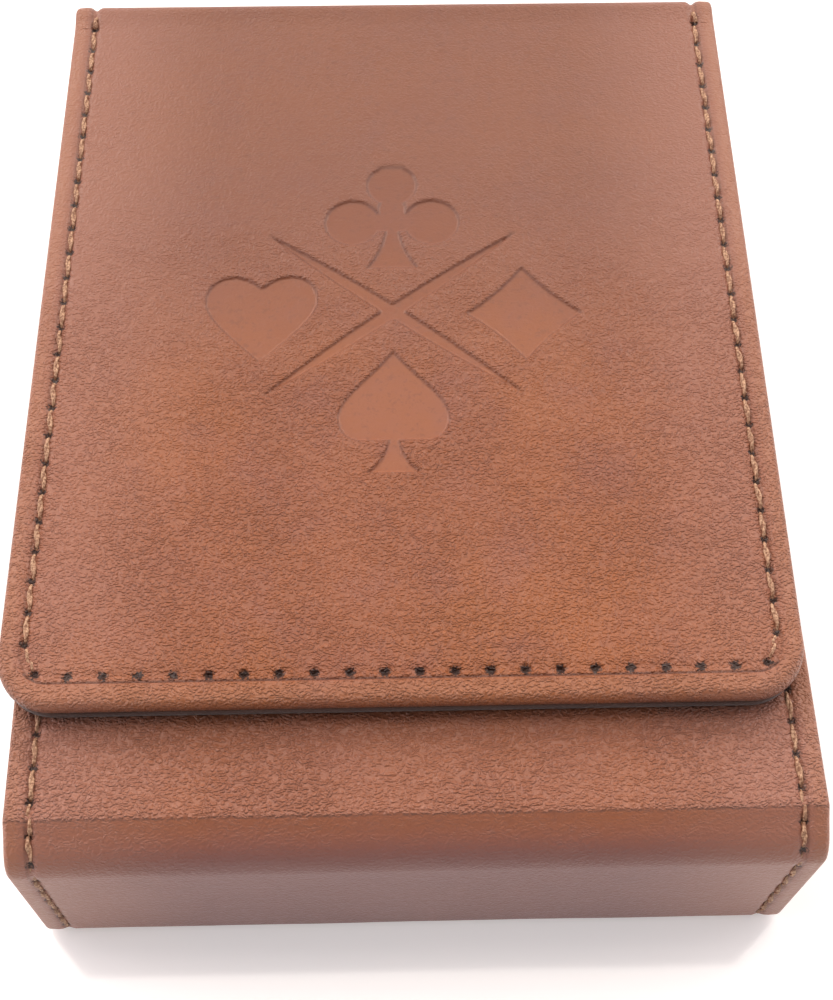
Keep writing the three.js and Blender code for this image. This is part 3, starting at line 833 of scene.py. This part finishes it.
MOUTH_GAP = 1.6  # between the case's last needle holes and its mouth
thin_edge, flap_edge, spine_edge = (even_thickness(height) for height in (1.6, 1.8, THICK_EDGE))
hides = [
    ("case_hide", case_path, MOUTH_CORNER_RADIUS, 0.4, case_edge, "case", "case_cover"),
    ("back_hinge_hide", back_hinge_path, 0, 0.25, thin_edge, low_bend, "back_hinge_strip"),
    ("spine_hide", spine_path, 0, 0.4, spine_edge, "spine", "spine_cover"),
    ("flap_hinge_hide", flap_hinge_path, 0, 0.25, thin_edge, high_bend, "flap_hinge_strip"),
    ("flap_hide", flap_path, FLAP_CORNER_RADIUS, FLAP_STEP, flap_edge, "flap", "flap_cover"),
]
needle_holes = {}
for name, path, corner, step, turned, body, node in hides:
    if path is flap_path:
        rows, columns = flap_rows, flap_columns
        seam, needle_holes[path] = round_seam(path, corner)
    else:
        rows, columns = even_steps(0, path.total, step), plain_columns
        seam, needle_holes[path] = side_seam(path.total - (MOUTH_GAP if corner else 0))
    piece = hide_panel(name, path, hide_leather, corner, rows, columns, turned, seam)
    finish_piece(piece, "hide", body, node)


# ---- slabs: side hides and linings

def rounded_slab(name, lo, hi, edge, material, step=2.0, crown=(0, 0, 0)):
    """A sheet with softly rounded edges. crown swells the faces across one axis, as leather over board."""
    lo, hi = np.array(lo, float), np.array(hi, float)
    rounds = np.array([0, 0.3, 0.65]) * edge
    stations = []
    for a in range(3):
        middle = even_steps(lo[a] + edge, hi[a] - edge, step)
        stations.append(np.concatenate([lo[a] + rounds, middle, hi[a] - rounds[::-1]]))
    index, points, faces = {}, [], []

    def vertex(i, j, k):
        if (i, j, k) not in index:
            index[i, j, k] = len(points)
            points.append((stations[0][i], stations[1][j], stations[2][k]))
        return index[i, j, k]

    sizes = [len(s) - 1 for s in stations]
    for axis in range(3):
        u, v = (axis + 1) % 3, (axis + 2) % 3
        for end in (0, sizes[axis]):
            for i in range(sizes[u]):
                for j in range(sizes[v]):
                    quad = []
                    for du, dv in ((0, 0), (1, 0), (1, 1), (0, 1)):
                        at = [0, 0, 0]
                        at[axis], at[u], at[v] = end, i + du, j + dv
                        quad.append(vertex(*at))
                    faces.append(quad if end else quad[::-1])
    points = np.array(points)
    core = np.clip(points, lo + edge, hi - edge)
    out = points - core
    size = np.maximum(np.linalg.norm(out, axis=1), 1e-9)[:, None]
    points = core + out / size * edge
    centre, half = (lo + hi) / 2, (hi - lo) / 2
    across = (points - centre) / half
    for axis in range(3):
        if crown[axis]:
            others = [a for a in range(3) if a != axis]
            swell = (1 - across[:, others[0]] ** 4) * (1 - across[:, others[1]] ** 4)
            points[:, axis] += np.where(across[:, axis] * crown[axis] > 0, crown[axis] * swell, 0)
    values = {
        "hide_place": points,
        "seam": np.zeros((len(points), 3)) + UNSEWN,
        "pressed": np.zeros(len(points)),
    }
    return make_piece(name, points, faces, material, values)


def cut_sheet(name, outline, loops, material):
    """A sheet cut to an outline in X and Y. loops give how far in each ring of points is, and its height."""
    outline = np.array(outline)
    ways = np.roll(outline, -1, 0) - np.roll(outline, 1, 0)
    ways = np.column_stack([-ways[:, 1], ways[:, 0]]) / np.linalg.norm(ways, axis=1)[:, None]
    points, faces, count = [], [], len(outline)
    for drawn_in, z in loops:
        points += [(*(p + w * drawn_in), z) for p, w in zip(outline, ways)]
    for k in range(len(loops) - 1):
        for j in range(count):
            a, b = k * count + j, k * count + (j + 1) % count
            faces.append((a, b, b + count, a + count))
    faces.append(tuple(range(count))[::-1])
    faces.append(tuple(range(len(points) - count, len(points))))
    return make_piece(name, np.array(points), faces, material)


# Each side wall: a hide swelled over its board, turned in round the wall's end at the mouth
SIDE_SKIN, SIDE_SWELL, MOUTH_TURN = 1.0, 0.22, 1.0
SIDE_ROUND, SIDE_STEP = 0.3, 0.9
for side, way in (("left", -1), ("right", 1)):
    node = f"{side}_side_cover"
    lo, hi = box_mm(node)
    outer, within = (lo.x, hi.x) if way < 0 else (hi.x, lo.x)
    skin = sorted((outer, outer - way * SIDE_SKIN))
    out = rounded_slab(f"{side}_side_hide", (skin[0], lo.y, lo.z), (skin[1], hi.y, hi.z), SIDE_ROUND,
                       side_leather, SIDE_STEP, (way * SIDE_SWELL, 0, 0))
    finish_piece(out, "side_hide", "case", node)
    end = sorted((outer - way * (SIDE_SKIN + 0.02), within))
    binding = rounded_slab(f"{side}_mouth_binding", (end[0], hi.y - MOUTH_TURN, lo.z),
                           (end[1], hi.y, hi.z), 0.25, side_leather, SIDE_STEP)
    finish_piece(binding, "side_hide", "case")

lined = {name: "case" for name in ("front", "bottom", "back", "left_side", "right_side")}
for part, body in {**lined, "spine": "spine"}.items():
    node = part + "_lining"
    lo, hi = box_mm(node)
    lining = rounded_slab(part + "_suede", lo, hi, 0.12, suede, step=4.0)
    finish_piece(lining, "suede", body, node)

# Thin strips close the ends of the spine's board at its two hinges
STRIP, STRIP_GAP = 0.3, 0.02
board_lo, board_hi = box_mm("spine_board")
inner_y = box_mm("spine_lining")[0].y
for name, z in (("spine_upper_binding", board_hi.z + STRIP_GAP),
                ("spine_lower_binding", board_lo.z - STRIP_GAP - STRIP)):
    lo, hi = (board_lo.x, inner_y, z), (board_hi.x, board_hi.y, z + STRIP)
    finish_piece(rounded_slab(name, lo, hi, 0.1, suede, step=3.0), "suede", "spine")

# The flap's lining is turned up round its board, and shows as a dark layer under the folded edge
LINING_REVEAL, LINING_SKIN = 0.2, 1.2
lining_lo, lining_hi = box_mm("flap_lining")
lining_x, lining_front = HALF_WIDTH - LINING_REVEAL, FLAP_FRONT_Y + LINING_REVEAL
corner = FLAP_CORNER_RADIUS - LINING_REVEAL
turn = np.linspace(0, math.pi / 2, 13)
right_x = lining_x - corner + corner * np.sin(turn)
right = np.column_stack([right_x, lining_front + corner - corner * np.cos(turn)])
left = right[::-1] * [-1, 1]
outline = np.concatenate([right, [(lining_x, lining_hi.y), (-lining_x, lining_hi.y)], left])
outline[:, 0] -= FLAP_LEAN * np.clip((JOIN_Y - outline[:, 1]) / flap_path.total, 0, 1)
low_z, high_z = lining_lo.z, FLAP_Z - 1.85
loops = [(0.2, low_z), (0.06, low_z + 0.06), (0, low_z + 0.2), (0, high_z - 0.1), (0.1, high_z),
         (LINING_SKIN - 0.1, high_z), (LINING_SKIN, high_z - 0.1), (LINING_SKIN, lining_hi.z)]
flap_suede = cut_sheet("flap_suede", outline, loops, suede)
finish_piece(flap_suede, "suede", "flap", "flap_lining")

for name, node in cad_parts.items():
    for word, material in (("board", board), ("magnet", nickel)):
        if word in name:
            node.data.materials.clear()
            node.data.materials.append(material)


# ---- stitches

def stitch_shape(name, pitch):
    """One visible stitch: two twisted plies that arch out of one needle hole and down into the next."""
    points, faces = [], []
    rings, around, turns = 7, 5, 0.9
    hole, crown, dip = 0.25, 0.03, 0.5  # how much shorter than the pitch, and how high and deep it goes
    for ply in range(2):
        first = len(points)
        for i in range(rings):
            share = i / (rings - 1)
            x = (share - 0.5) * (pitch - hole)
            sunk = abs(2 * share - 1) ** 4
            twist = 2 * math.pi * turns * share + ply * math.pi
            draw = THREAD_RADIUS * (0.72 - 0.3 * sunk)
            y, z = draw * math.cos(twist), crown - dip * sunk + draw * math.sin(twist)
            for k in range(around):
                angle = 2 * math.pi * k / around + twist
                points.append((x, y + THREAD_RADIUS * math.cos(angle), z + THREAD_RADIUS * math.sin(angle)))
        for i in range(rings - 1):
            for k in range(around):
                a, b = first + i * around + k, first + i * around + (k + 1) % around
                faces.append((a, b, b + around, a + around))
        faces.append(tuple(range(first, first + around))[::-1])
        faces.append(tuple(range(len(points) - around, len(points))))
    piece = make_piece(name, np.array(points), [face[::-1] for face in faces], linen_thread)
    piece.data.set_sharp_from_angle(angle=math.pi)
    return piece


def saddle_stitch_tree():
    """Lays one stitch along each edge of a seam line, turned to face out of the hide."""
    tree = bpy.data.node_groups.new("saddle_stitch", "GeometryNodeTree")
    face = tree.interface
    for label, kind in (("Geometry", "Geometry"), ("Stitch", "Object"), ("Nominal Length", "Float"),
                        ("Slant", "Float"), ("Unevenness", "Float"), ("Seed", "Int"), ("Thread", "Material")):
        face.new_socket(label, in_out="INPUT", socket_type="NodeSocket" + kind)
    face.new_socket("Geometry", in_out="OUTPUT", socket_type="NodeSocketGeometry")
    add = partial(add_node, tree)
    given = add("NodeGroupInput").node.outputs
    ends = add("GeometryNodeInputMeshEdgeVertices").node.outputs
    run = add(VECTORS, (ends["Position 2"], ends["Position 1"]), **MINUS)
    kept = add("GeometryNodeCaptureAttribute", (given["Geometry"],), domain="EDGE").node
    kept.capture_items.new("VECTOR", "Run")
    tree.links.new(run, kept.inputs["Run"])
    run = kept.outputs["Run"]
    places = add("GeometryNodeMeshToPoints", (kept.outputs["Geometry"],), mode="EDGES")
    outward = add("GeometryNodeInputNamedAttribute", {"Name": "outward"}, data_type="FLOAT_VECTOR")
    turned = add("FunctionNodeAxesToRotation", {"Primary Axis": outward, "Secondary Axis": run},
                 primary_axis="Z", secondary_axis="X")
    size = add(VECTORS, (run,), "Value", **LENGTH)
    stretch = add(MATH, (size, given["Nominal Length"]), operation="DIVIDE")
    scale = add("ShaderNodeCombineXYZ", {"X": stretch, "Y": 1.0, "Z": 1.0})
    stitch = add("GeometryNodeObjectInfo", {"Object": given["Stitch"]}, "Geometry")
    laid = add("GeometryNodeInstanceOnPoints",
               {"Points": places, "Instance": stitch, "Rotation": turned, "Scale": scale})
    less, more = (add(MATH, (given["Slant"], given["Unevenness"]), **way) for way in (MINUS, PLUS))
    jitter = add("FunctionNodeRandomValue", {2: less, 3: more, "Seed": given["Seed"]}, 1, data_type="FLOAT")
    slant = add("ShaderNodeCombineXYZ", {"Z": jitter})
    slanted = add("GeometryNodeRotateInstances", {"Instances": laid, "Rotation": slant, "Local Space": True})
    real = add("GeometryNodeRealizeInstances", {"Geometry": slanted})
    dyed = add("GeometryNodeSetMaterial", {"Geometry": real, "Material": given["Thread"]})
    add("NodeGroupOutput", {"Geometry": dyed})
    return tree


stitch_tree = saddle_stitch_tree()
one_stitch = stitch_shape("one_stitch", STITCH_PITCH)


def sew(name, path, sides, body, seed, *nodes):
    """A run of stitches through a hide's needle holes, on one side or both."""
    points, outs, edges = [], [], []
    for holes in needle_holes[path][sides]:
        x, s = np.array(holes).T
        first = len(points)
        crease = path.starts[2 * path.creased] if path.creased else math.inf
        lift = CREASE_LIFT * mound(s - crease, CREASE_REACH)
        sunk = THREAD_SUNK + PULLED_UNDER * at_free_edge(path, s)
        yz = path.place(s, sunk - bend_swell(path, s) - lift)
        points += list(np.column_stack([x - lean(path, s), yz]))
        outs += list(np.column_stack([0 * x, path.outward(s)]))
        edges += [(first + k, first + k + 1) for k in range(len(holes) - 1)]
    line = bpy.data.meshes.new(name + "_line")
    line.from_pydata((np.array(points) * MM).tolist(), edges, [])
    store = line.attributes.new("outward", "FLOAT_VECTOR", "POINT")
    store.data.foreach_set("vector", np.array(outs, np.float32).ravel())
    seam = new_object(name + "_line", line)
    sewing = seam.modifiers.new("sewing", "NODES")
    sewing.node_group = stitch_tree
    settings = {"Stitch": one_stitch, "Nominal Length": STITCH_PITCH * MM, "Slant": math.radians(5),
                "Unevenness": math.radians(3.5), "Seed": seed, "Thread": linen_thread}
    for item in stitch_tree.interface.items_tree:
        if item.name in settings:
            sewing[item.identifier] = settings[item.name]
    evaluated = seam.evaluated_get(bpy.context.evaluated_depsgraph_get())
    mesh = bpy.data.meshes.new_from_object(evaluated)
    bpy.data.objects.remove(seam)
    mesh.name = name
    return finish_piece(new_object(name, mesh), "thread", body, *nodes)


LEFT, RIGHT, BOTH = slice(0, 1), slice(1, 2), slice(0, 2)
sew("case_stitches_left", case_path, LEFT, "case", 3, "case_thread_left")
sew("case_stitches_right", case_path, RIGHT, "case", 4, "case_thread_right")
sew("back_hinge_stitches", back_hinge_path, BOTH, low_bend, 5)
sew("spine_stitches_left", spine_path, LEFT, "spine", 6, "spine_thread_left")
sew("spine_stitches_right", spine_path, RIGHT, "spine", 7, "spine_thread_right")
sew("flap_hinge_stitches", flap_hinge_path, BOTH, high_bend, 8)
sew("flap_stitches", flap_path, BOTH, "flap", 9, "flap_thread")
bpy.data.objects.remove(one_stitch)


# ---- table, light and camera

TABLE_Z = -0.0002
bpy.ops.mesh.primitive_plane_add(size=8.0, location=(0, 0, TABLE_Z))
table_top = bpy.context.object
table_top.name = "table_top"
table_top.data.materials.append(white_laminate)

bpy.ops.mesh.primitive_cylinder_add(
    vertices=64, radius=3.6, depth=1.6, end_fill_type="NOTHING", location=(0, 0, 0.8))
backdrop = bpy.context.object
backdrop.name = "backdrop"
backdrop.data.materials.append(white_paper)


def soft_box(name, place, size, power, colour):
    """A rectangular light at a place in metres, turned to the middle of the case."""
    light = bpy.data.lights.new(name, "AREA")
    light.shape = "RECTANGLE"
    light.size, light.size_y = size
    light.energy = power
    light.color = srgb(colour)[:3]
    lamp = new_object(name, light)
    lamp.location = place
    lamp.rotation_euler = (Vector((0, 0, 0.012)) - Vector(place)).to_track_quat("-Z", "Y").to_euler()


COOL_WHITE, WARM_WHITE = "#fff0f2", "#fff6ec"
soft_box("left_box", (-0.42, 0.02, 0.26), (0.34, 0.5), 1.5, COOL_WHITE)
soft_box("right_box", (0.42, 0.04, 0.26), (0.34, 0.5), 1.1, COOL_WHITE)
soft_box("left_window", (-0.75, 0.85, 0.92), (0.6, 0.6), 8.4, WARM_WHITE)
soft_box("right_window", (0.75, 0.85, 0.92), (0.6, 0.6), 7.6, WARM_WHITE)
soft_box("back_window", (0.0, 1.25, 0.75), (1.3, 0.45), 5.5, WARM_WHITE)
soft_box("top_window", (0.0, 0.30, 1.25), (0.7, 0.5), 5.8, WARM_WHITE)

world = bpy.data.worlds.new("studio")
world.use_nodes = True
around = world.node_tree.nodes["Background"].inputs
around["Color"].default_value = srgb("#f1f1f3")
around["Strength"].default_value = 0.06
bpy.context.scene.world = world
bpy.context.scene.view_settings.view_transform = "Standard"

camera_data = bpy.data.cameras.new("camera")
camera_data.sensor_width = 36.0
camera_data.lens = 56.556
camera_data.shift_x, camera_data.shift_y = 0.0225, -0.0054
camera_data.clip_start, camera_data.clip_end = 0.005, 20.0
camera = new_object("camera", camera_data)
TURNS = (151.124, -0.935, -0.892)  # degrees about X, Y and Z
tilt = Euler([math.radians(angle) for angle in TURNS]).to_matrix()
faces_down = Matrix.Diagonal((1, -1, -1))  # a camera looks along its own -Z
camera.matrix_world = (tilt.transposed() @ faces_down).to_4x4()
camera.location = Vector((-3.97, -88.57, 160.66)) * MM
bpy.context.scene.camera = camera
